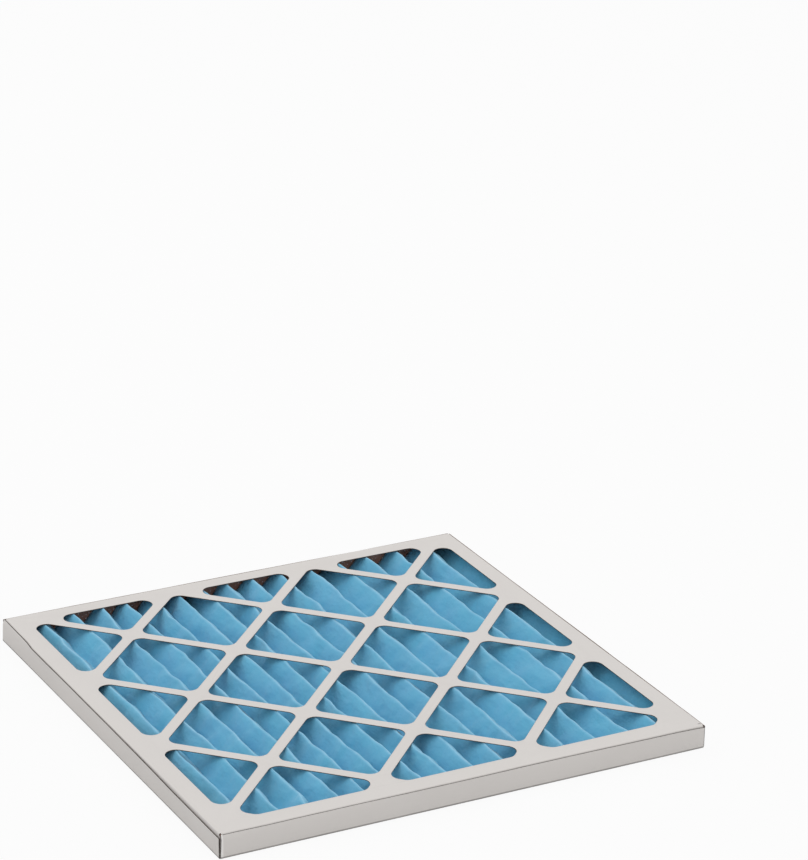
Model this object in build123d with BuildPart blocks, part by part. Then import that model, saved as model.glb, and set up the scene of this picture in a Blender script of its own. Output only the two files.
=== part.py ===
from build123d import *
from math import atan2, cos, pi, radians
import os

# Pleated panel air filter, millimetres.  X runs across the pleats, Y along them, +Z towards the face
# that the air enters.  The origin is the centre of the lower face, on which the panel lies.

# ---- overall size of the panel -------------------------------------------------------------------
panel_width = 495.0
panel_length = 495.0
panel_depth = 23.0

# ---- die-cut board of the two nested trays -------------------------------------------------------
board = 0.7
fold_radius = 0.5  # inside the folds of the board
glue_line = 0.1  # between an inner flange and the outer flange round it
corner_cut = 0.8  # how far a flange stops short of the flange that it meets
seam_step = 0.3  # from the cut edge of the outer flanges up to the upper face
foot_gap = 0.3  # from the cut edge of the inner flanges down to the lower board

# ---- window and diagonal lattice of each face ----------------------------------------------------
border = 20.0
strip_width = 11.0
strip_spacing = 105.7  # centre to centre, square across the strips
opening_radius = 10.0
lattice_bays = 8  # bays each way, more than the window can show
entry_window_shift = (1.0, 2.0)
entry_lattice_shift = (2.3, 11.7)
exit_window_shift = (0.5, -1.0)
exit_lattice_shift = (8.5, -1.5)
slit_length = 3.2  # relief slit that has opened at one corner of the upper tray
slit_width = 1.0
slit_inset = (3.0, 4.8)
slit_angle = -15.0

# ---- adhesive beads between the pack and the flanges ---------------------------------------------
bead_width = 2.5

# ---- pleated media -------------------------------------------------------------------------------
media_thickness = 1.6
pleat_count = 15
pleat_pitch = 30.05
pleat_offset = -7.3  # of the middle ridge from the centre line
pleat_drift = 7.6  # how far hand setting lets the ridges wander from an even pitch
pleat_drift_phase = 34.6
rest_gap = 0.2  # from a fold to the board that it is glued to
trim_share = 0.2  # of an end flank, cut away to square the pack's side

# ---- expanded metal grid bonded under the media --------------------------------------------------
grid_thickness = 0.35
bond_gap = 0.15
grid_cells = 3  # diamonds along one pleat flank
grid_strand = 1.2
grid_edge = 4.0  # plain strip where a flank's row of diamonds ends
least_slant = 0.1  # of a flank, which tells it from the grid's upright ends

# ---- sizes that follow from these ----------------------------------------------------------------
nest = board + glue_line
inner_width = panel_width - 2 * nest
inner_length = panel_length - 2 * nest
clear_width = inner_width - 2 * board
clear_length = inner_length - 2 * board
pack_width = clear_width - 2 * bead_width
pack_length = clear_length - 2 * bead_width
pack_top = panel_depth - board - rest_gap
pack_bottom = board + rest_gap
ridge_level = pack_top - media_thickness / 2
grid_inner = media_thickness / 2 + bond_gap
grid_outer = grid_inner + grid_thickness
edge_level = ridge_level - media_thickness
narrowest_run = pleat_pitch / 2 - pleat_drift * pi / (pleat_count - 1)
steepest_flank = atan2(ridge_level - pack_bottom, narrowest_run)
valley_level = pack_bottom + grid_outer / cos(steepest_flank)


def lattice_openings(level, window_shift, lattice_shift):
    """The openings of one face: the bays between the diagonal strips, cut off at the border, all with
    round corners."""
    bay = strip_spacing - strip_width - 2 * opening_radius
    with BuildSketch(Plane.XY.offset(level)) as openings:
        with Locations(Location((*lattice_shift, 0), (0, 0, 45))):
            with GridLocations(strip_spacing, strip_spacing, lattice_bays, lattice_bays):
                Rectangle(bay, bay)
        with Locations(window_shift):
            Rectangle(
                panel_width - 2 * (border + opening_radius),
                panel_length - 2 * (border + opening_radius),
                mode=Mode.INTERSECT,
            )
        offset(amount=opening_radius, kind=Kind.ARC)
    return openings.sketch


def folded_tray(width, length, face_level, flange_height, openings):
    """One blank of board folded into a tray: the lattice face and a flange along each side, which
    stand up from the face if flange_height is positive and hang from it if it is negative."""
    rise = 1 if flange_height > 0 else -1
    notch = 2 * (board + corner_cut)
    with BuildPart() as tray:
        with BuildSketch(Plane.XY.offset(face_level)):
            Rectangle(width, length)
        extrude(amount=flange_height)
        face = tray.faces().sort_by(Axis.Z)[0 if rise > 0 else -1]
        fillet(face.edges(), board + fold_radius)
        mouth = tray.faces().sort_by(Axis.Z)[-1 if rise > 0 else 0]
        offset(amount=-board, openings=mouth)
        with BuildSketch(Plane.XY.offset(face_level)):
            with GridLocations(width, length, 2, 2):
                Rectangle(notch, notch)
        extrude(amount=flange_height, mode=Mode.SUBTRACT)
        extrude(openings, amount=rise * board, mode=Mode.SUBTRACT)
    return tray


def corner_slit():
    """The slit at one corner of the upper tray."""
    with BuildSketch(Plane.XY.offset(panel_depth)) as slit:
        with Locations((inner_width / 2 - slit_inset[0], slit_inset[1] - inner_length / 2)):
            SlotOverall(slit_length, slit_width, rotation=slit_angle)
    return slit.sketch


def ridge_place(number):
    """X of a ridge.  The ridges wander from an even pitch in one slow wave across the panel."""
    from_middle = number - (pleat_count - 1) / 2
    turn = 2 * pi * from_middle / (pleat_count - 1)
    wander = pleat_drift * cos(turn - radians(pleat_drift_phase))
    return pleat_offset + pleat_pitch * from_middle - wander


def fold_places():
    """The zigzag half way through the media: the pack's left side, each fold in turn, the right side."""
    side = pack_width / 2
    ridges = [ridge_place(number) for number in range(pleat_count)]
    valleys = [(here + after) / 2 for here, after in zip([-side] + ridges, ridges + [side])]
    folds = sorted([(x, ridge_level) for x in ridges] + [(x, valley_level) for x in valleys])
    return [(-side, edge_level)] + folds + [(side, edge_level)]


def pleated_band(half_thickness, fold_kind):
    """The zigzag thickened to both sides and trimmed square at the pack's sides.  The inside of every
    fold is a sharp crease, and its outside is round or creased too."""
    places = [Vector(*place) for place in fold_places()]
    before_first = places[0] + (places[0] - places[1]) * trim_share
    after_last = places[-1] + (places[-1] - places[-2]) * trim_share
    with BuildSketch(Plane.XZ) as band:
        with BuildLine():
            Polyline(before_first, *places[1:-1], after_last)
            offset(amount=half_thickness, kind=fold_kind)
        make_face()
        Rectangle(pack_width, 2 * panel_depth, mode=Mode.INTERSECT)
    return band.sketch


def flank_cells(flank, row):
    """The row of diamonds through one flank of the grid, as faces on its lower side.  Every other row
    is shifted along by half a diamond."""
    cell_pitch = (pack_length - 2 * grid_edge) / (grid_cells + 0.5)
    half_long = cell_pitch / 2 - grid_strand
    half_short = flank.area / pack_length / 2 - grid_strand
    with BuildSketch(Plane(flank.center(), x_dir=(0, 1, 0), z_dir=flank.normal_at())) as cells:
        with Locations((cell_pitch / 4 * (-1) ** row, 0)):
            with GridLocations(cell_pitch, 1, grid_cells, 1):
                Polygon((-half_long, 0), (0, -half_short), (half_long, 0), (0, half_short))
    return cells.sketch.faces()


# ---- the two trays -------------------------------------------------------------------------------
exit_openings = lattice_openings(0, exit_window_shift, exit_lattice_shift)
exit_tray = folded_tray(panel_width, panel_length, 0, panel_depth - seam_step, exit_openings)

entry_openings = lattice_openings(panel_depth, entry_window_shift, entry_lattice_shift)
inner_flange = panel_depth - board - foot_gap
entry_tray = folded_tray(inner_width, inner_length, panel_depth, -inner_flange, entry_openings)
with entry_tray:
    extrude(corner_slit(), amount=-board, mode=Mode.SUBTRACT)

# ---- the media -----------------------------------------------------------------------------------
with BuildPart() as media:
    extrude(pleated_band(media_thickness / 2, Kind.ARC), amount=pack_length / 2, both=True)

# ---- the expanded metal grid ---------------------------------------------------------------------
with BuildPart() as grid:
    extrude(pleated_band(grid_outer, Kind.INTERSECTION), amount=pack_length / 2, both=True)
    extrude(
        pleated_band(grid_inner, Kind.INTERSECTION),
        amount=pack_length / 2,
        both=True,
        mode=Mode.SUBTRACT,
    )
    add(grid.solids().sort_by(Axis.Z)[0], mode=Mode.REPLACE)
    undersides = grid.faces().filter_by(lambda face: face.normal_at().Z < -least_slant)
    flanks = undersides.sort_by(Axis.X)[1:-1]
    cells = [cell for row, flank in enumerate(flanks) for cell in flank_cells(flank, row)]
    extrude(cells, amount=-grid_thickness, mode=Mode.SUBTRACT)


# ---- adhesive beads ------------------------------------------------------------------------------
def bead(across_x, length, place):
    """One bead of adhesive, which fills the space between a flange and the edge of the pack."""
    low = board + foot_gap
    high = panel_depth - board - fold_radius
    size = (bead_width, length) if across_x else (length, bead_width)
    with BuildPart() as strip:
        with BuildSketch(Plane.XY.offset(low)):
            with Locations(place):
                Rectangle(*size)
        extrude(amount=high - low)
    return strip


side_place = (clear_width - bead_width) / 2
end_place = (clear_length - bead_width) / 2
beads = {
    "seal_bead_left": bead(True, clear_length, (-side_place, 0)),
    "seal_bead_right": bead(True, clear_length, (side_place, 0)),
    "seal_bead_front": bead(False, pack_width, (0, -end_place)),
    "seal_bead_back": bead(False, pack_width, (0, end_place)),
}

# ---- labels and files ----------------------------------------------------------------------------
nodes = {
    "air_exit_tray": exit_tray,
    "air_entry_tray": entry_tray,
    "pleated_media": media,
    "support_grid": grid,
    **beads,
}
os.makedirs("parts", exist_ok=True)
for label, piece in nodes.items():
    piece.part.label = label
    export_step(piece.part, f"parts/{label}.step")
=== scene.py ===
from math import cos, floor, pi, radians, sin, sqrt

import bmesh
import bpy
from bpy.props import FloatProperty, FloatVectorProperty, IntProperty, PointerProperty
from mathutils import Matrix, Vector, noise


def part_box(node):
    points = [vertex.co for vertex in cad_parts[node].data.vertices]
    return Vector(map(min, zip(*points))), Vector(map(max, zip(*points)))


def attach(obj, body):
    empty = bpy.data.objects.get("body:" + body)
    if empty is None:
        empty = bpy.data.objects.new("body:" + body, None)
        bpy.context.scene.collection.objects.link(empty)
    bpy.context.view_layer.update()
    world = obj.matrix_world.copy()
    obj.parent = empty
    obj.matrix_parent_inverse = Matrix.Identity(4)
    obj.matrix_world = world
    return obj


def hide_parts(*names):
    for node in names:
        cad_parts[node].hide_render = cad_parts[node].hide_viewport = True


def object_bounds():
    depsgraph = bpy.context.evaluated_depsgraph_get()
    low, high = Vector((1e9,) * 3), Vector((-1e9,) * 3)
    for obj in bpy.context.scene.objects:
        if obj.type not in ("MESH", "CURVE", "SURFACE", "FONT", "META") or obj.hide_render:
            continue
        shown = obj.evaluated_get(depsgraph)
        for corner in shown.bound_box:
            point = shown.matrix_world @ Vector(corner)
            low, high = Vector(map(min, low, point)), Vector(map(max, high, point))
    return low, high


bl_info = {
    "name": "Pleated Panel Air Filter",
    "version": (1, 0, 0),
    "blender": (4, 5, 0),
    "location": "3D View > Sidebar > Air Filter",
    "description": "Folded board trays, pleated media and expanded metal grid of a panel air filter",
    "category": "Object",
}

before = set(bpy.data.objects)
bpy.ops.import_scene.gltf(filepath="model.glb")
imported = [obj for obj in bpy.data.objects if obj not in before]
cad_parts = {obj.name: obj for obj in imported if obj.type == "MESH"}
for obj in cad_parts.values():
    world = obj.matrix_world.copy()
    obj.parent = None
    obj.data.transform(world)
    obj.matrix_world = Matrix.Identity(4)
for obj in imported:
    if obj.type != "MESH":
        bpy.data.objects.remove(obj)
cad_low, cad_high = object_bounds()
MM = 0.001


# ---- sizes and colours that a user may change ----------------------------------------------------
def length(name, description, millimetres):
    """A length property whose default is given in millimetres."""
    return FloatProperty(
        name=name, description=description, default=millimetres * MM, unit="LENGTH", precision=5
    )


def colour(name, description, red, green, blue):
    """A colour property whose default is given as the eye sees it, from 0 to 1."""
    linear = [
        shade / 12.92 if shade <= 0.04045 else ((shade + 0.055) / 1.055) ** 2.4
        for shade in (red, green, blue)
    ]
    return FloatVectorProperty(
        name=name, description=description, default=linear, subtype="COLOR", min=0, max=1
    )


class FILTER_PG_pleats(bpy.types.PropertyGroup):
    count: IntProperty(name="Ridges", description="Ridges of the pleated media", default=15, min=1)
    pitch: length("Pitch", "Mean distance from ridge to ridge", 30.05)
    offset: length("Offset", "Middle ridge from the centre line", -7.3)
    drift: length("Drift", "How far the ridges wander from an even pitch", 7.6)
    drift_phase: FloatProperty(
        name="Drift phase", description="Where the wandering starts", default=radians(34.6), subtype="ANGLE"
    )
    thickness: length("Thickness", "Thickness of the media", 1.6)
    crown: length("Crown", "Roundness of the folds", 0.45)
    sway: length("Sway", "How far a fold line sways along its length", 2.4)
    sag: length("Sag", "How far a ridge dips along its length", 0.9)
    kink: length("Kink", "How far a fold line jumps aside at its kinks", 1.7)
    bulge: length("Bulge", "How far the flanks bulge in and out", 2.2)
    pucker: length("Pucker", "Depth of the small creases across a flank", 1.25)


class FILTER_PG_grid(bpy.types.PropertyGroup):
    long_way: length("Long way", "Diamond along the pleats", 35.0)
    short_way: length("Short way", "Diamond across the pleats, on the flat sheet", 16.5)
    strand: length("Strand", "Width of a strand", 0.95)
    thickness: length("Thickness", "Thickness of the sheet metal", 0.4)
    bond: length("Bond", "Space between the media and the metal", 0.12)


class FILTER_PG_board(bpy.types.PropertyGroup):
    edge_wear: length("Edge wear", "Rounding of the die-cut edges", 0.34)
    seam_wave: length("Seam wave", "How unevenly the rims of the outer flanges were cut", 0.45)
    corner_gap: length("Corner gap", "How much further the near corner stands open", 0.9)
    rubbed: length("Rubbed", "Width of the rubbed end of a flange at the near corner", 1.3)


class FILTER_PG_colours(bpy.types.PropertyGroup):
    board: colour("Board", "Coated side of the board", 0.832, 0.815, 0.801)
    rubbed: colour("Rubbed board", "Coated side where it is rubbed pale", 0.91, 0.90, 0.89)
    kraft: colour("Kraft", "Uncoated side of the board", 0.54, 0.47, 0.42)
    # The cut edge colour is darker than the board's core: partly the cut board, partly painted shade for
    # the open seams and the outlines of the openings.
    cut: colour("Cut edge", "Die-cut edge of the board", 0.27, 0.24, 0.22)
    media: colour("Media", "Dyed synthetic fibre", 0.37, 0.715, 0.85)
    media_drift: colour("Media drift", "Fibre where the dye took differently", 0.44, 0.68, 0.85)
    # Painted highlight: the paler colour laid along the ridges.
    crest: colour("Crest", "Fibre along the ridges", 0.56, 0.77, 0.88)
    zinc: colour("Zinc", "Galvanised metal", 0.74, 0.76, 0.77)
    adhesive: colour("Adhesive", "Set adhesive", 0.72, 0.50, 0.42)
    floor: colour("Floor", "Plain floor", 0.84, 0.84, 0.84)


# ---- materials -----------------------------------------------------------------------------------
SHADE_BAND_HEIGHT = 2.5 * MM  # from the floor, over which the lower folds of the board are darkened with painted shade
WHITE = (1, 1, 1, 1)
WHITE_RAYS = ("Is Camera Ray", "Is Glossy Ray", "Is Transmission Ray")  # which see a white surround
FLOOR_GLOW = 0.92  # share of plain white in the floor that those rays see


class Signal:
    """One output of a shader node.  Sums and products with it add their Math nodes."""

    def __init__(self, finish, socket):
        self.finish = finish
        self.socket = socket

    def __add__(self, other):
        return self.finish.math("ADD", self, other)

    def __mul__(self, other):
        return self.finish.math("MULTIPLY", self, other)

    __radd__ = __add__
    __rmul__ = __mul__


class Finish:
    """The shader nodes of a material, or of the world, under construction."""

    def __init__(self, owner, output="ShaderNodeOutputMaterial"):
        owner.use_nodes = True
        self.owner = owner
        self.tree = owner.node_tree
        self.tree.nodes.clear()
        self.output = self.tree.nodes.new(output)

    def node(self, kind, settings=None, inputs=None, out=0):
        """Adds a node: its settings first, then the values or links of its sockets."""
        made = self.tree.nodes.new(kind)
        for key, value in (settings or {}).items():
            if key == "stops":
                set_stops(made.color_ramp.elements, value)
            else:
                setattr(made, key, value)
        for key, value in (inputs or {}).items():
            if isinstance(value, Signal):
                self.tree.links.new(value.socket, made.inputs[key])
            else:
                made.inputs[key].default_value = value
        return Signal(self, made.outputs[out])

    def math(self, operation, first, second):
        return self.node("ShaderNodeMath", {"operation": operation}, {0: first, 1: second})

    def mix(self, share, first, second):
        """A colour between two, by a share."""
        first, second = (shade if isinstance(shade, Signal) else (*shade, 1) for shade in (first, second))
        return self.node("ShaderNodeMix", {"data_type": "RGBA"}, {0: share, 6: first, 7: second}, out=2)

    def place(self, stretch=(1, 1, 1)):
        """Object coordinates, stretched."""
        spot = self.node("ShaderNodeTexCoord", out="Object")
        return self.node("ShaderNodeMapping", {}, {"Vector": spot, "Scale": stretch})

    def grain(self, size, detail, stretch=(1, 1, 1)):
        """Noise from 0 to 1 whose features are about that size across."""
        return self.node(
            "ShaderNodeTexNoise", {}, {"Vector": self.place(stretch), "Scale": 1 / size, "Detail": detail}
        )

    def ramp(self, signal, *stops):
        return self.node("ShaderNodeValToRGB", {"stops": stops}, {"Fac": signal})

    def bump(self, height, distance):
        return self.node("ShaderNodeBump", {}, {"Height": height, "Distance": distance, "Strength": 1.0})

    def shade(self, **inputs):
        """Closes the nodes with a Principled shader, whose sockets are named with underscores."""
        named = {key.replace("_", " "): value for key, value in inputs.items()}
        return self.close(self.node("ShaderNodeBsdfPrincipled", {}, named))

    def close(self, shader):
        """Puts a shader out, and returns the material or world."""
        self.tree.links.new(shader.socket, self.output.inputs["Surface"])
        return self.owner


def set_stops(elements, stops):
    """Gives a colour ramp its stops, each a position and a shade of grey."""
    while len(elements) < len(stops):
        elements.new(0.5)
    for element, (position, shade) in zip(elements, stops):
        element.position = position
        element.color = (shade, shade, shade, 1)


def new_finish(name):
    return Finish(bpy.data.materials.new(name))


def darker(shade, share):
    return tuple(part * share for part in shade)


def white_seen(finish):
    """Above 0 for the rays that see a plain white surround."""
    return sum(finish.node("ShaderNodeLightPath", out=ray) for ray in WHITE_RAYS)


def coated_board(name, clean):
    """Matt clay-coated side of the board, faintly mottled, with the tooth of the paper and with a
    painted shade line along its lower folds, just above the floor."""
    finish = new_finish(name)
    mottle = finish.grain(60 * MM, 3.0)
    tooth = finish.grain(1.2 * MM, 3.0, (1, 0.35, 1))
    tone = finish.mix(mottle * 0.55 + tooth * 0.25, clean, darker(clean, 0.93))
    level = finish.node("ShaderNodeSeparateXYZ", {}, {0: finish.place()}, out="Z")
    # Painted shade: a thin dark band along the lower folds, just above the floor.
    fold_shade = finish.ramp(level * (1 / SHADE_BAND_HEIGHT), (0.02, 0.0), (0.06, 1.0), (0.72, 1.0), (0.86, 0.0))
    tone = finish.mix(fold_shade * (0.35 + mottle * 0.6), tone, darker(clean, 0.2))
    height = tooth * 0.6 + finish.grain(20 * MM, 1.0) * 2.0
    return finish.shade(
        Base_Color=tone, Roughness=0.5 + mottle * 0.16, Normal=finish.bump(height, 0.06 * MM)
    )


def kraft_side(colours):
    """Uncoated inner side of the board."""
    finish = new_finish("kraft_side")
    fibre = finish.grain(1.6 * MM, 4.0, (1, 0.3, 1))
    tone = finish.mix(fibre, colours.kraft, darker(colours.kraft, 0.7))
    return finish.shade(Base_Color=tone, Roughness=0.85, Normal=finish.bump(fibre, 0.1 * MM))


def cut_edge_and_shade(colours):
    """Dark grey die-cut edges: the cut board, partly painted shade in seams and round openings."""
    finish = new_finish("cut_edge_and_shade")
    fibre = finish.grain(0.6 * MM, 3.0)
    tone = finish.mix(fibre, colours.cut, darker(colours.cut, 0.6))
    return finish.shade(Base_Color=tone, Roughness=0.9, Normal=finish.bump(fibre, 0.08 * MM))


def fibre_media(colours):
    """Felted fibre, unevenly dyed and creased, with a painted highlight along the ridges."""
    finish = new_finish("fibre_media")
    crest = finish.node("ShaderNodeAttribute", {"attribute_name": "crest"}, out="Fac")
    fuzz = finish.grain(1.1 * MM, 4.0)
    cloud = finish.grain(22 * MM, 3.0)
    drift = finish.ramp(finish.grain(35 * MM, 2.0), (0.35, 0.0), (0.7, 1.0))
    dyed = finish.mix(drift * 0.5, colours.media, colours.media_drift)
    tone = finish.mix(cloud * 0.6 + fuzz * 0.35, dyed, darker(colours.media, 0.8))
    # Painted highlight along the ridges, broken up by noise.
    rubbed = crest * finish.grain(16 * MM, 2.0) * (0.8 + fuzz * 0.6)
    tone = finish.mix(rubbed, tone, colours.crest)
    height = fuzz * 0.07 + finish.grain(9 * MM, 2.0, (1, 0.6, 1))
    return finish.shade(
        Base_Color=tone,
        Roughness=0.86 + fuzz * 0.1,
        Sheen_Weight=0.25,
        Sheen_Roughness=0.6,
        Normal=finish.bump(height, 1.9 * MM),
    )


def zinc_coat(colours):
    """Galvanised metal, a little streaked."""
    finish = new_finish("zinc_coat")
    spangle = finish.grain(4 * MM, 2.0)
    tone = finish.mix(spangle, colours.zinc, darker(colours.zinc, 0.72))
    dents = finish.bump(finish.grain(1 * MM, 2.0), 0.03 * MM)
    return finish.shade(Base_Color=tone, Metallic=1.0, Roughness=0.26 + spangle * 0.22, Normal=dents)


def set_adhesive(colours):
    """Hot-melt adhesive, reddish brown and slightly shiny, with bits of paper fluff in it."""
    finish = new_finish("set_adhesive")
    flow = finish.grain(8 * MM, 2.0, (0.4, 1, 1))
    tone = finish.mix(flow, colours.adhesive, darker(colours.adhesive, 0.45))
    fluff = finish.ramp(finish.grain(2.2 * MM, 2.0), (0.6, 0.0), (0.68, 1.0))
    tone = finish.mix(fluff * 0.7, tone, colours.rubbed)
    return finish.shade(
        Base_Color=tone, Roughness=0.38 + flow * 0.2, Normal=finish.bump(flow, 0.6 * MM)
    )


def plain_floor(colours):
    """Matt floor that keeps the shadow, looks white to the camera and is clear from below."""
    finish = new_finish("floor")
    matt = finish.node("ShaderNodeBsdfDiffuse", {}, {"Color": (*colours.floor, 1)})
    glow = finish.node("ShaderNodeEmission", {}, {"Color": WHITE, "Strength": 1.0})
    lit = finish.node(
        "ShaderNodeMixShader", {}, {0: white_seen(finish) * FLOOR_GLOW, 1: matt, 2: glow}
    )
    clear = finish.node("ShaderNodeBsdfTransparent")
    behind = finish.node("ShaderNodeNewGeometry", out="Backfacing")
    return finish.close(finish.node("ShaderNodeMixShader", {}, {0: behind, 1: lit, 2: clear}))


# ---- helpers for pieces --------------------------------------------------------------------------
MERGE_DISTANCE = 0.001 * MM
FLAT_ANGLE = radians(0.4)  # between faces that are one flat face


def keep(bm, name, materials, node):
    """Makes a finished piece of a bmesh, which stands for a node."""
    mesh = bpy.data.meshes.new(name)
    bm.to_mesh(mesh)
    bm.free()
    for material in materials:
        mesh.materials.append(material)
    piece = bpy.data.objects.new(name, mesh)
    bpy.context.scene.collection.objects.link(piece)
    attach(piece, "root")
    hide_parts(node)
    return piece


def thicken(piece, thickness):
    """Gives a sheet its thickness, half to each side."""
    wall = piece.modifiers.new("Thickness", "SOLIDIFY")
    wall.thickness = thickness
    wall.offset = 0
    wall.use_even_offset = False


def clean_copy(node):
    """A bmesh of a node with its loose triangles joined into faces."""
    bm = bmesh.new()
    bm.from_mesh(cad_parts[node].data)
    bmesh.ops.remove_doubles(bm, verts=bm.verts, dist=MERGE_DISTANCE)
    bmesh.ops.dissolve_limit(
        bm, angle_limit=FLAT_ANGLE, verts=bm.verts, edges=bm.edges, delimit={"NORMAL"}
    )
    return bm


def cut_across(bm, place, way, clear_outer=False):
    """Cuts a whole mesh by the plane through a place, square to a way."""
    bmesh.ops.bisect_plane(
        bm, geom=[*bm.verts, *bm.edges, *bm.faces], plane_co=place, plane_no=way, clear_outer=clear_outer
    )


def ease(share):
    """A share from 0 to 1, made to start and stop gently."""
    return share * share * (3 - 2 * share)


def ripple(seed, along, *waves):
    """Smooth unevenness along a line: the sum of waves, each a share and a wavelength.  Each seed
    reads a part of the noise of its own."""
    return sum(
        share * noise.noise(Vector((seed * 7.31, along / wave, seed * 3.7))) for share, wave in waves
    )


def kinks(seed, along, spacing):
    """Straight runs that meet at kinks, each about a spacing long, mostly from -1 to 1."""
    whole = floor(along / spacing)
    share = along / spacing - whole
    here, after = (
        2 * noise.noise(Vector((seed * 5.17, (whole + step) * 1.73, seed * 2.9))) for step in (0, 1)
    )
    return here + (after - here) * share


# ---- the folded media ----------------------------------------------------------------------------
# Waves of the fold lines, each a share and a wavelength.
SWAYS = ((1.0, 110 * MM), (0.3, 13 * MM))
RIDGE_DIPS = ((1.5, 90 * MM), (0.8, 22 * MM))
VALLEY_RISES = ((1.0, 100 * MM),)
VALLEY_SHARE = 0.2  # of the sag of a ridge, by which a valley rises
KINK_SPACING = 17 * MM
DENT_LENGTH = 38 * MM  # along a flank, as are the next three
CREASE_LENGTH = 13 * MM
CREASE_SLANT = 30 * MM
LUMP_LENGTH = 7 * MM
SHARE_STEP = 0.02  # to each side of a place, to find the way that is square to the sheet
ALONG_STEP = 2 * MM
COLUMNS = 9  # of faces across a flank
ROWS = 132  # of faces along it
GATHER = 0.12  # how far the columns gather towards the folds
HIGHLIGHT_SHARE = 0.055  # of a flank, beside a ridge, that carries the painted highlight


class PleatForm:
    """Where the middle of the folded media lies."""

    def __init__(self, sizes):
        low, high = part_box("pleated_media")
        self.sizes = sizes
        self.low, self.high = low, high
        self.ridge_level = high.z - sizes.thickness / 2
        self.valley_level = low.z + sizes.thickness / 2
        ridges = [self.ridge_place(number) for number in range(sizes.count)]
        valleys = [(here + after) / 2 for here, after in zip([low.x] + ridges, ridges + [high.x])]
        inner = sorted([(x, 1) for x in ridges] + [(x, 0) for x in valleys])
        self.folds = [(low.x, 1)] + inner + [(high.x, 1)]
        self.flanks = len(self.folds) - 1

    def ridge_place(self, number):
        """X of a ridge.  The ridges wander from an even pitch in one slow wave across the panel."""
        sizes = self.sizes
        from_middle = number - (sizes.count - 1) / 2
        turn = 2 * pi * from_middle / (sizes.count - 1)
        return sizes.offset + sizes.pitch * from_middle - sizes.drift * cos(turn - sizes.drift_phase)

    def fold(self, number, along):
        """X and Z of a fold line at a place along it.  The first and last are the pack's sides."""
        x, is_ridge = self.folds[number]
        sizes = self.sizes
        if number in (0, self.flanks):
            return x, self.ridge_level - sizes.thickness
        x += sizes.sway * ripple(number, along, *SWAYS)
        x += sizes.kink * kinks(number, along, KINK_SPACING)
        if is_ridge:
            return x, self.ridge_level - sizes.sag * abs(ripple(number + 50, along, *RIDGE_DIPS))
        rise = abs(ripple(number + 90, along, *VALLEY_RISES))
        return x, self.valley_level + VALLEY_SHARE * sizes.sag * rise

    def starts(self):
        """How far along the unfolded sheet each fold lies, at the middle of the pack."""
        starts = [0.0]
        for number in range(self.flanks):
            (x0, z0), (x1, z1) = self.fold(number, 0), self.fold(number + 1, 0)
            starts.append(starts[-1] + sqrt((x1 - x0) ** 2 + (z1 - z0) ** 2))
        return starts

    def level_place(self, flank, share, along):
        """A place on a flank, share of the way from its first fold to its second, before bulging."""
        (x0, z0), (x1, z1) = self.fold(flank, along), self.fold(flank + 1, along)
        run = x1 - x0
        crown = self.sizes.crown
        slope = (z1 - z0) / (sqrt(run * run + crown * crown) - crown)
        near, far = run * share, run * (1 - share)
        from_first = z0 + slope * (sqrt(near * near + crown * crown) - crown)
        from_second = z1 - slope * (sqrt(far * far + crown * crown) - crown)
        blend = ease(share)
        return Vector((x0 + near, along, from_first * (1 - blend) + from_second * blend))

    def roughness(self, flank, share, along):
        """How far a place on a flank is dented, creased and lumped out of its level.  The factors on
        the flank's number keep the flanks unlike each other."""
        swell = 4 * share * (1 - share)
        dent = noise.noise(Vector((share * 0.9, along / DENT_LENGTH, flank * 1.7)))
        slanted = share * 1.6 + along / CREASE_SLANT
        crease = noise.noise(Vector((slanted, along / CREASE_LENGTH, flank * 5.1)))
        lump = noise.noise(Vector((share * 3.5, along / LUMP_LENGTH, flank * 9.3)))
        small = self.sizes.pucker * (crease * (0.35 + 0.65 * swell) + 0.4 * lump * swell)
        return self.sizes.bulge * dent * swell + small

    def place(self, flank, share, along):
        """A place on the finished sheet and the way that is square to it, upwards."""
        here = self.level_place(flank, share, along)
        low = self.level_place(flank, max(share - SHARE_STEP, 0), along)
        high = self.level_place(flank, min(share + SHARE_STEP, 1), along)
        ahead = self.level_place(flank, share, along + ALONG_STEP)
        square = (high - low).cross(ahead - here).normalized()
        return here + square * self.roughness(flank, share, along), square


def build_media(form):
    """The media as one sheet, its columns close together at the folds."""
    columns = form.flanks * COLUMNS
    bm = bmesh.new()
    bmesh.ops.create_grid(bm, x_segments=columns, y_segments=ROWS, size=0.5)
    crest = bm.verts.layers.float.new("crest")
    width = form.high.y - form.low.y
    for vert in bm.verts:
        column = round((vert.co.x + 0.5) * columns)
        along = form.low.y + (vert.co.y + 0.5) * width
        flank = min(column // COLUMNS, form.flanks - 1)
        even = column / COLUMNS - flank
        share = even - GATHER * sin(2 * pi * even)
        vert.co, _ = form.place(flank, share, along)
        to_ridge = share if form.folds[flank + 1][1] else 1 - share
        # mask of the painted highlight: 1 at a ridge, fading out a little way down the flank
        vert[crest] = max(0.0, 1 - (1 - to_ridge) / HIGHLIGHT_SHARE)
    bmesh.ops.recalc_face_normals(bm, faces=bm.faces)
    if sum(face.normal.z for face in bm.faces) < 0:
        bmesh.ops.reverse_faces(bm, faces=bm.faces)
    for face in bm.faces:
        face.smooth = True
    return bm


class FILTER_OT_media(bpy.types.Operator):
    """Fold the sheet of media"""

    bl_idname = "filter.media"
    bl_label = "Pleated media"

    def execute(self, context):
        sizes = context.scene.filter_pleats
        form = PleatForm(sizes)
        finishes = [fibre_media(context.scene.filter_colours)]
        piece = keep(build_media(form), "folded_media", finishes, "pleated_media")
        thicken(piece, sizes.thickness)
        form.starts()[-1]
        return {"FINISHED"}


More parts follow.
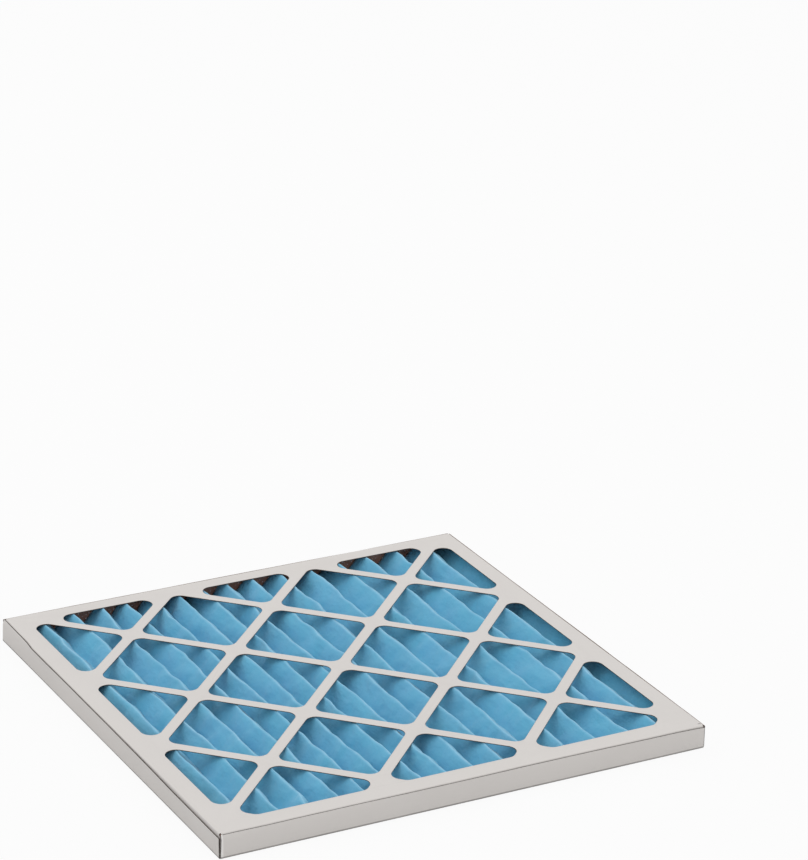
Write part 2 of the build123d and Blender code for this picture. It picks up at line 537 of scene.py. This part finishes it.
# ---- the two folded trays ------------------------------------------------------------------------
COATED, KRAFT, CUT_AND_SHADE, RUBBED = range(4)  # finishes of a tray; the cut finish also paints shade
BOARD = 0.7 * MM
SLIP = 0.02 * MM  # between faces that slide on each other
FOLD_ROUND = 1.2 * MM  # radius of the outside of a fold
FOLD_REACH = 1.5 * MM  # the height of a fold, with a little of the board beside it
OUTSIDE_REACH = 1 * MM  # how deep the outside of an outer flange lies
OUTER_REACH = 1.6 * MM  # how deep an outer flange and its fold lie
CORNER_REACH = 2 * MM  # how deep the ends of both flanges at a corner lie
FLANGE_REACH = 3 * MM  # how deep any flange lies
RIM_REACH = 0.3 * MM  # how far from the level of a rim its faces lie
BEND_HEIGHT = 7 * MM  # of the part of an outer flange that bends
BEND_CUTS = (4.5 * MM, 2.5 * MM)  # below the rim
SLICE_STEP = 15 * MM
SLICES = 32  # along a flange
CORNER_SHARE = 0.6  # of the corner's gap, that the left flange makes
EDGE_REACH = 10 * MM  # openings lie deeper than this
CUT_ANGLE = radians(40)  # round the edges of an opening, which are sharper than any other there

# How the trays were pressed together: for each side, places along it with how low the outer rim is
# there, how far both trays lean inwards at the top, and how wide the seam between them stands open,
# all in millimetres.
SEAMS = {
    "left": (
        (-247, 3.0, 0, 0.8),
        (-170, 2.9, 0, 0.8),
        (-60, 1.2, 0, 0.6),
        (0, 0.8, 0, 0.5),
        (120, 0.2, 0, 0.5),
        (174, 0.2, 0, 0.45),
        (192, 0, 1.5, 0.4),
        (218, 0, 1.7, 0.2),
        (247, 0, 2.1, 0.12),
    ),
    "front": (
        (-247, 0, 2.0, 0.3),
        (-200, 0, 1.1, 0.45),
        (-100, 0, 1.0, 0.5),
        (-60, 0, 0.2, 0.9),
        (0, 0, 0, 0.9),
        (60, 0, 0.6, 0.9),
        (120, 0, 0.6, 0.8),
        (170, 0.2, 0, 0.7),
        (220, 0.6, 0, 0.6),
        (247, 1.5, 0, 0.4),
    ),
    "right": ((-247, 0.3, 0, 0.2), (247, 0.2, 0, 0.2)),
    "back": ((-247, 0.2, 0, 0.2), (247, 0.2, 0, 0.2)),
}
SIDE_SEEDS = {"left": 4, "right": 5, "front": 5, "back": 4}
RIM_WAVES = ((0.9, 90 * MM), (0.4, 30 * MM))


def seam_at(side, along):
    """Rim drop, lean and gap at a place along one side."""
    places = SEAMS[side]
    along = min(max(along / MM, places[0][0]), places[-1][0])
    for here, after in zip(places, places[1:]):
        if along <= after[0]:
            share = ease((along - here[0]) / (after[0] - here[0]))
            return [(a + (b - a) * share) * MM for a, b in zip(here[1:], after[1:])]


def lean_rise(level, low, high):
    """How far up an inner flange a level is, from 0 to 1, which is how much of the lean it takes."""
    return min(max((level - low.z) / (high.z - FOLD_REACH - low.z), 0), 1)


def tray_side(face, low, high, rim):
    """The finish of a face of a tray."""
    middle = face.calc_center_median()
    outward = Vector((middle.x, middle.y, middle.z - (low.z + high.z) / 2))
    depths = (high.x - abs(middle.x), high.y - abs(middle.y))
    on_flange = min(depths) < FLANGE_REACH
    at_corner = max(depths) < CORNER_REACH
    upright = abs(face.normal.z) < 0.5
    if upright and (not on_flange or at_corner):
        return CUT_AND_SHADE
    if not upright and on_flange and abs(middle.z - rim) < RIM_REACH:
        # Painted shadow: the rims on the front and left take the dark cut finish for the shade in the open
        # seam, the others show kraft.
        seam_shade_side = min(middle.x - low.x, middle.y - low.y) < FLANGE_REACH
        return CUT_AND_SHADE if seam_shade_side else KRAFT
    return COATED if outward.dot(face.normal) > 0 else KRAFT


def slice_flanges(bm, high, places):
    """Cuts the flanges across at the given places, and along below their rims, so that they can bend."""
    for axis in (0, 1):
        for place in places:
            cut_flanges(bm, high, 1 - axis, axis, place)
        for depth in BEND_CUTS:
            cut_flanges(bm, high, axis, 2, high.z - depth)


def cut_flanges(bm, high, side_axis, axis, place):
    """Cuts the two flanges that stand at the ends of side_axis by a plane across axis."""
    faces = [
        face for face in bm.faces
        if high[side_axis] - abs(face.calc_center_median()[side_axis]) < OUTER_REACH
    ]
    edges = {edge for face in faces for edge in face.edges}
    verts = {vert for face in faces for vert in face.verts}
    square = Vector([1 if number == axis else 0 for number in range(3)])
    bmesh.ops.bisect_plane(
        bm, geom=[*verts, *edges, *faces], plane_co=square * place, plane_no=square
    )


def side_of(place, low, high):
    """The side that a place is nearest to, its depth from it, how far along it, and the way inwards."""
    sides = {
        "left": (place.x - low.x, place.y, Vector((1, 0, 0))),
        "right": (high.x - place.x, place.y, Vector((-1, 0, 0))),
        "front": (place.y - low.y, place.x, Vector((0, 1, 0))),
        "back": (high.y - place.y, place.x, Vector((0, -1, 0))),
    }
    side = min(sides, key=lambda name: sides[name][0])
    return side, *sides[side]


def press_outer(bm, low, high, board):
    """Bends the outer flanges as handwork leaves them, and lowers their rims unevenly."""
    for vert in bm.verts:
        side, depth, along, inwards = side_of(vert.co, low, high)
        rise = (vert.co.z - (high.z - BEND_HEIGHT)) / BEND_HEIGHT
        if rise < 0 or depth > OUTER_REACH:
            continue
        drop, lean, _ = seam_at(side, along)
        wave = board.seam_wave * (0.4 + ripple(SIDE_SEEDS[side], along, *RIM_WAVES))
        vert.co.z -= max(drop + wave, 0) * rise ** 2
        vert.co += inwards * lean * rise ** 1.5


def press_inner(bm, low, high):
    """Closes the corners of the inner tray, and moves its flanges inwards with the outer ones."""
    for vert in bm.verts:
        x, y = vert.co.x, vert.co.y
        x_in, y_in = high.x - abs(x), high.y - abs(y)
        if vert.co.z < high.z - FOLD_REACH and max(x_in, y_in) < CORNER_REACH:
            if x_in > y_in:
                x_in = BOARD
            else:
                y_in = SLIP
        rise = lean_rise(vert.co.z, low, high)
        if x_in < FLANGE_REACH:
            _, lean, gap = seam_at("left" if x < 0 else "right", y)
            x_in += (gap + lean) * rise
        if y_in < FLANGE_REACH:
            _, lean, gap = seam_at("front" if y < 0 else "back", x)
            y_in += (gap + lean) * rise
        vert.co.x = (1 if x > 0 else -1) * (high.x - x_in)
        vert.co.y = (1 if y > 0 else -1) * (high.y - y_in)


def open_near_corner(bm, low, board, rubbed_end):
    """Trims the two outer flanges where they meet at the near corner, and rubs the end of one."""
    for vert in bm.verts:
        x_in, y_in = vert.co.x - low.x, vert.co.y - low.y
        if vert.co.z > low.z + CORNER_REACH and max(x_in, y_in) < CORNER_REACH:
            if x_in > y_in:
                vert.co.x += board.corner_gap
            else:
                vert.co.y += board.corner_gap * CORNER_SHARE
    for face in bm.faces:
        middle = face.calc_center_median()
        outside = middle.y < low.y + OUTSIDE_REACH
        if outside and middle.x < rubbed_end and middle.z > low.z + FOLD_ROUND:
            face.material_index = RUBBED


def wear_edges(bm, board):
    """Rounds the die-cut edges of the openings, in the dark cut finish that paints a shade outline."""
    within = cad_high.x - EDGE_REACH
    sharp = [
        edge for edge in bm.edges
        if len(edge.link_faces) == 2 and edge.calc_face_angle() > CUT_ANGLE
        and all(max(abs(vert.co.x), abs(vert.co.y)) < within for vert in edge.verts)
    ]
    made = bmesh.ops.bevel(
        bm, geom=sharp, offset=board.edge_wear, segments=2, profile=0.5, affect="EDGES",
        material=-1, clamp_overlap=True,
    )
    # Painted shade: the rounded edges take the dark cut finish, which draws a dark outline round each
    # opening.
    for face in made["faces"]:
        face.material_index = CUT_AND_SHADE


def build_tray(node, is_outer, board):
    """A tray from its solid: clean faces, rubbed edges, and seams as uneven as handwork leaves them."""
    low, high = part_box(node)
    bm = clean_copy(node)
    for face in bm.faces:
        face.material_index = tray_side(face, low, high, high.z if is_outer else low.z)
        face.smooth = True
    places = [low.x + SLICE_STEP * number for number in range(1, SLICES + 1)]
    if is_outer:
        rubbed_end = low.x + FOLD_REACH + board.corner_gap + board.rubbed
        slice_flanges(bm, high, [rubbed_end] + places)
        open_near_corner(bm, low, board, rubbed_end)
        press_outer(bm, low, high, board)
    else:
        slice_flanges(bm, high, places)
        press_inner(bm, low, high)
    wear_edges(bm, board)
    return bm


class FILTER_OT_trays(bpy.types.Operator):
    """Dress the two folded board trays"""

    bl_idname = "filter.trays"
    bl_label = "Board trays"

    def execute(self, context):
        colours = context.scene.filter_colours
        finishes = [
            coated_board("coated_board", colours.board),
            kraft_side(colours),
            cut_edge_and_shade(colours),
            coated_board("rubbed_board", colours.rubbed),
        ]
        for name, node, is_outer in (
            ("entry_tray", "air_entry_tray", False),
            ("exit_tray", "air_exit_tray", True),
        ):
            bm = build_tray(node, is_outer, context.scene.filter_board)
            piece = keep(bm, name, finishes, node)
            piece.data.set_sharp_from_angle(angle=radians(35))
        return {"FINISHED"}


# ---- the expanded metal grid ---------------------------------------------------------------------
CREASES = (-1.6 * MM, -0.6 * MM, 0.6 * MM, 1.6 * MM)  # to each side of a fold of the grid


def flat_grid(sizes, developed, form):
    """The flat sheet of expanded metal: a field of diamonds, trimmed to the size of the media."""
    span = form.high.y - form.low.y
    cells = int(developed / sizes.short_way) + int(span / sizes.long_way) + 4
    bm = bmesh.new()
    bmesh.ops.create_grid(bm, x_segments=cells, y_segments=cells, size=cells / 2)
    bmesh.ops.rotate(bm, verts=bm.verts, matrix=Matrix.Rotation(pi / 4, 3, "Z"))
    stretch = (sizes.short_way / sqrt(2), sizes.long_way / sqrt(2), 1)
    bmesh.ops.scale(bm, verts=bm.verts, vec=stretch)
    bmesh.ops.translate(bm, verts=bm.verts, vec=(developed / 2, 0, 0))
    reach = sizes.long_way
    far = [
        face for face in bm.faces
        if not (-reach < face.calc_center_median().x < developed + reach)
        or abs(face.calc_center_median().y) > span / 2 + reach
    ]
    bmesh.ops.delete(bm, geom=far, context="FACES")
    holes = list(bm.faces)
    bmesh.ops.inset_individual(bm, faces=holes, thickness=sizes.strand / 2, use_even_offset=True)
    bmesh.ops.delete(bm, geom=holes, context="FACES")
    edge = sizes.thickness
    cut_across(bm, (edge, 0, 0), (-1, 0, 0), clear_outer=True)
    cut_across(bm, (developed - edge, 0, 0), (1, 0, 0), clear_outer=True)
    cut_across(bm, (0, form.low.y + edge, 0), (0, -1, 0), clear_outer=True)
    cut_across(bm, (0, form.high.y - edge, 0), (0, 1, 0), clear_outer=True)
    return bm


def build_grid(sizes, form):
    """The expanded metal, creased at every fold and laid under the media."""
    starts = form.starts()
    bm = flat_grid(sizes, starts[-1], form)
    for start in starts[1:-1]:
        for shift in CREASES:
            cut_across(bm, (start + shift, 0, 0), (1, 0, 0))
    under = form.sizes.thickness / 2 + sizes.bond + sizes.thickness / 2
    for vert in bm.verts:
        flank = max(number for number in range(form.flanks) if starts[number] <= max(vert.co.x, 0))
        share = (vert.co.x - starts[flank]) / (starts[flank + 1] - starts[flank])
        place, square = form.place(flank, min(max(share, 0), 1), vert.co.y)
        vert.co = place - square * under
    bmesh.ops.recalc_face_normals(bm, faces=bm.faces)
    for face in bm.faces:
        face.smooth = False
    return bm


class FILTER_OT_grid(bpy.types.Operator):
    """Slit, stretch and fold the expanded metal"""

    bl_idname = "filter.grid"
    bl_label = "Support grid"

    def execute(self, context):
        sizes = context.scene.filter_grid
        bm = build_grid(sizes, PleatForm(context.scene.filter_pleats))
        finishes = [zinc_coat(context.scene.filter_colours)]
        thicken(keep(bm, "expanded_grid", finishes, "support_grid"), sizes.thickness)
        return {"FINISHED"}


# ---- the adhesive beads --------------------------------------------------------------------------
BEAD_SLICES = 50
BEAD_LEVELS = (6 * MM, 11 * MM, 16 * MM)
SKIN_DEPTH = 1 * MM  # from the flange, beyond which lies the inner skin of a bead
SKIN_WAVES = ((0.8, 30 * MM), (0.5, 9 * MM))
SKIN_SWELL = 0.6 * MM  # of the inner skin, on average and to each side of that
SKIN_GIVE = 1.2 * MM  # of the flange's lean that the bead takes up by getting thinner
END_SLIP = 0.05 * MM


def build_bead(node, side):
    """A bead that follows the leaning flange on one side and has an uneven skin on the other."""
    low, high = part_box(node)
    tray_low, tray_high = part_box("air_entry_tray")
    axis = 0 if side in ("left", "right") else 1
    run = 1 - axis
    ends = ("front", "back") if axis == 0 else ("left", "right")
    start, end = low[run], high[run]
    square = Vector((0, 1, 0)) if axis == 0 else Vector((1, 0, 0))
    bm = clean_copy(node)
    for number in range(1, BEAD_SLICES):
        cut_across(bm, square * (start + (end - start) * number / BEAD_SLICES), square)
    for level in BEAD_LEVELS:
        cut_across(bm, (0, 0, level), (0, 0, 1))
    inwards = 1 if side in ("left", "front") else -1
    flange = low[axis] if inwards > 0 else high[axis]
    for vert in bm.verts:
        rise = lean_rise(vert.co.z, tray_low, tray_high)
        _, lean, gap = seam_at(side, vert.co[run])
        shift = (gap + lean) * rise + SLIP
        if abs(vert.co[axis] - flange) > SKIN_DEPTH:
            wave = ripple(SIDE_SEEDS[side], vert.co[run] + vert.co.z * 2.3, *SKIN_WAVES)
            shift = max(shift - SKIN_GIVE, 0) - SKIN_SWELL * (1 + wave)
        vert.co[axis] += inwards * shift
        for end_side, edge, way in ((ends[0], start, 1), (ends[1], end, -1)):
            _, lean, gap = seam_at(end_side, vert.co[axis])
            least = (gap + lean) * rise + END_SLIP
            if (vert.co[run] - edge) * way < least:
                vert.co[run] = edge + way * least
    for face in bm.faces:
        face.smooth = True
    return bm


class FILTER_OT_beads(bpy.types.Operator):
    """Run the adhesive beads"""

    bl_idname = "filter.beads"
    bl_label = "Adhesive beads"

    def execute(self, context):
        finishes = [set_adhesive(context.scene.filter_colours)]
        for side in ("left", "right", "front", "back"):
            node = "seal_bead_" + side
            piece = keep(build_bead(node, side), side + "_bead", finishes, node)
            piece.data.set_sharp_from_angle(angle=radians(50))
        return {"FINISHED"}


# ---- floor, light and camera ---------------------------------------------------------------------
FLOOR_REACH = 6.0  # metres, from its middle
FLOOR_DROP = 0.3 * MM
SOFT_LIGHT = 0.88
LAMPS = (  # name, place, size in metres, power in watts
    ("key", (-0.5, 1.3, 2.2), 3.4, 12.0),
    ("fill", (1.4, -2.2, 1.2), 1.6, 5.0),
)


def facing(place, aim):
    """The turn of a camera or lamp at a place that looks at an aim."""
    return (Vector(aim) - Vector(place)).to_track_quat("-Z", "Y").to_matrix()


def hang(name, data, place, turn):
    """Adds a camera or lamp to the scene."""
    made = bpy.data.objects.new(name, data)
    bpy.context.scene.collection.objects.link(made)
    made.matrix_world = Matrix.Translation(place) @ turn.to_4x4()
    return made


class FILTER_OT_stage(bpy.types.Operator):
    """Set up the floor, the light and the camera"""

    bl_idname = "filter.stage"
    bl_label = "Stage"

    camera_place: FloatVectorProperty(name="Camera", default=(-1.4511, -2.7899, 1.5244), subtype="XYZ")
    camera_aim: FloatVectorProperty(name="Aim", default=(0.36665, 0.56963, 0.0), subtype="XYZ")
    camera_roll: FloatProperty(name="Roll", default=radians(1.236), subtype="ANGLE")
    camera_lens: FloatProperty(name="Lens", default=153.78, unit="CAMERA")

    def execute(self, context):
        context.scene.view_settings.view_transform = "Standard"
        self.lay_floor(context.scene)
        self.light(context.scene)
        self.set_camera(context.scene)
        return {"FINISHED"}

    def lay_floor(self, scene):
        bm = bmesh.new()
        bmesh.ops.create_grid(bm, x_segments=1, y_segments=1, size=FLOOR_REACH)
        bmesh.ops.translate(bm, verts=bm.verts, vec=(0, 0, cad_low.z - FLOOR_DROP))
        mesh = bpy.data.meshes.new("floor")
        bm.to_mesh(mesh)
        bm.free()
        mesh.materials.append(plain_floor(scene.filter_colours))
        ground = bpy.data.objects.new("floor", mesh)
        scene.collection.objects.link(ground)

    def light(self, scene):
        scene.world = bpy.data.worlds.new("studio")
        finish = Finish(scene.world, "ShaderNodeOutputWorld")
        soft = finish.node("ShaderNodeBackground", {}, {"Color": WHITE, "Strength": SOFT_LIGHT})
        white = finish.node("ShaderNodeBackground", {}, {"Color": WHITE, "Strength": 1.0})
        finish.close(finish.node("ShaderNodeMixShader", {}, {0: white_seen(finish), 1: soft, 2: white}))
        for name, place, size, power in LAMPS:
            lamp = bpy.data.lights.new(name, "AREA")
            lamp.shape = "DISK"
            lamp.size = size
            lamp.energy = power
            hang(name, lamp, place, facing(place, (0, 0, 0)))

    def set_camera(self, scene):
        data = bpy.data.cameras.new("camera")
        data.lens = self.camera_lens
        data.sensor_width = 36.0
        data.clip_start, data.clip_end = 0.05, 50.0
        turn = facing(self.camera_place, self.camera_aim) @ Matrix.Rotation(self.camera_roll, 3, "Z")
        scene.camera = hang("camera", data, self.camera_place, turn)


# ---- the panel in the sidebar --------------------------------------------------------------------
class FILTER_PT_panel(bpy.types.Panel):
    """The sizes and colours, and a button for each piece"""

    bl_idname = "FILTER_PT_panel"
    bl_label = "Air Filter"
    bl_space_type = "VIEW_3D"
    bl_region_type = "UI"
    bl_category = "Air Filter"

    def draw(self, context):
        for group in GROUPS:
            settings = getattr(context.scene, group)
            for name in settings.__annotations__:
                self.layout.prop(settings, name)
        for operator in OPERATORS:
            self.layout.operator(operator.bl_idname)


GROUPS = {
    "filter_pleats": FILTER_PG_pleats,
    "filter_grid": FILTER_PG_grid,
    "filter_board": FILTER_PG_board,
    "filter_colours": FILTER_PG_colours,
}
OPERATORS = [FILTER_OT_stage, FILTER_OT_trays, FILTER_OT_media, FILTER_OT_grid, FILTER_OT_beads]


def register():
    for group in GROUPS.values():
        bpy.utils.register_class(group)
    for operator in OPERATORS:
        bpy.utils.register_class(operator)
    bpy.utils.register_class(FILTER_PT_panel)
    for name, group in GROUPS.items():
        setattr(bpy.types.Scene, name, PointerProperty(type=group))


def unregister():
    for name in GROUPS:
        delattr(bpy.types.Scene, name)
    bpy.utils.unregister_class(FILTER_PT_panel)
    for operator in reversed(OPERATORS):
        bpy.utils.unregister_class(operator)
    for group in reversed(list(GROUPS.values())):
        bpy.utils.unregister_class(group)


def main():
    register()
    bpy.ops.filter.stage()
    bpy.ops.filter.trays()
    bpy.ops.filter.media()
    bpy.ops.filter.grid()
    bpy.ops.filter.beads()


if __name__ == "__main__":
    main()
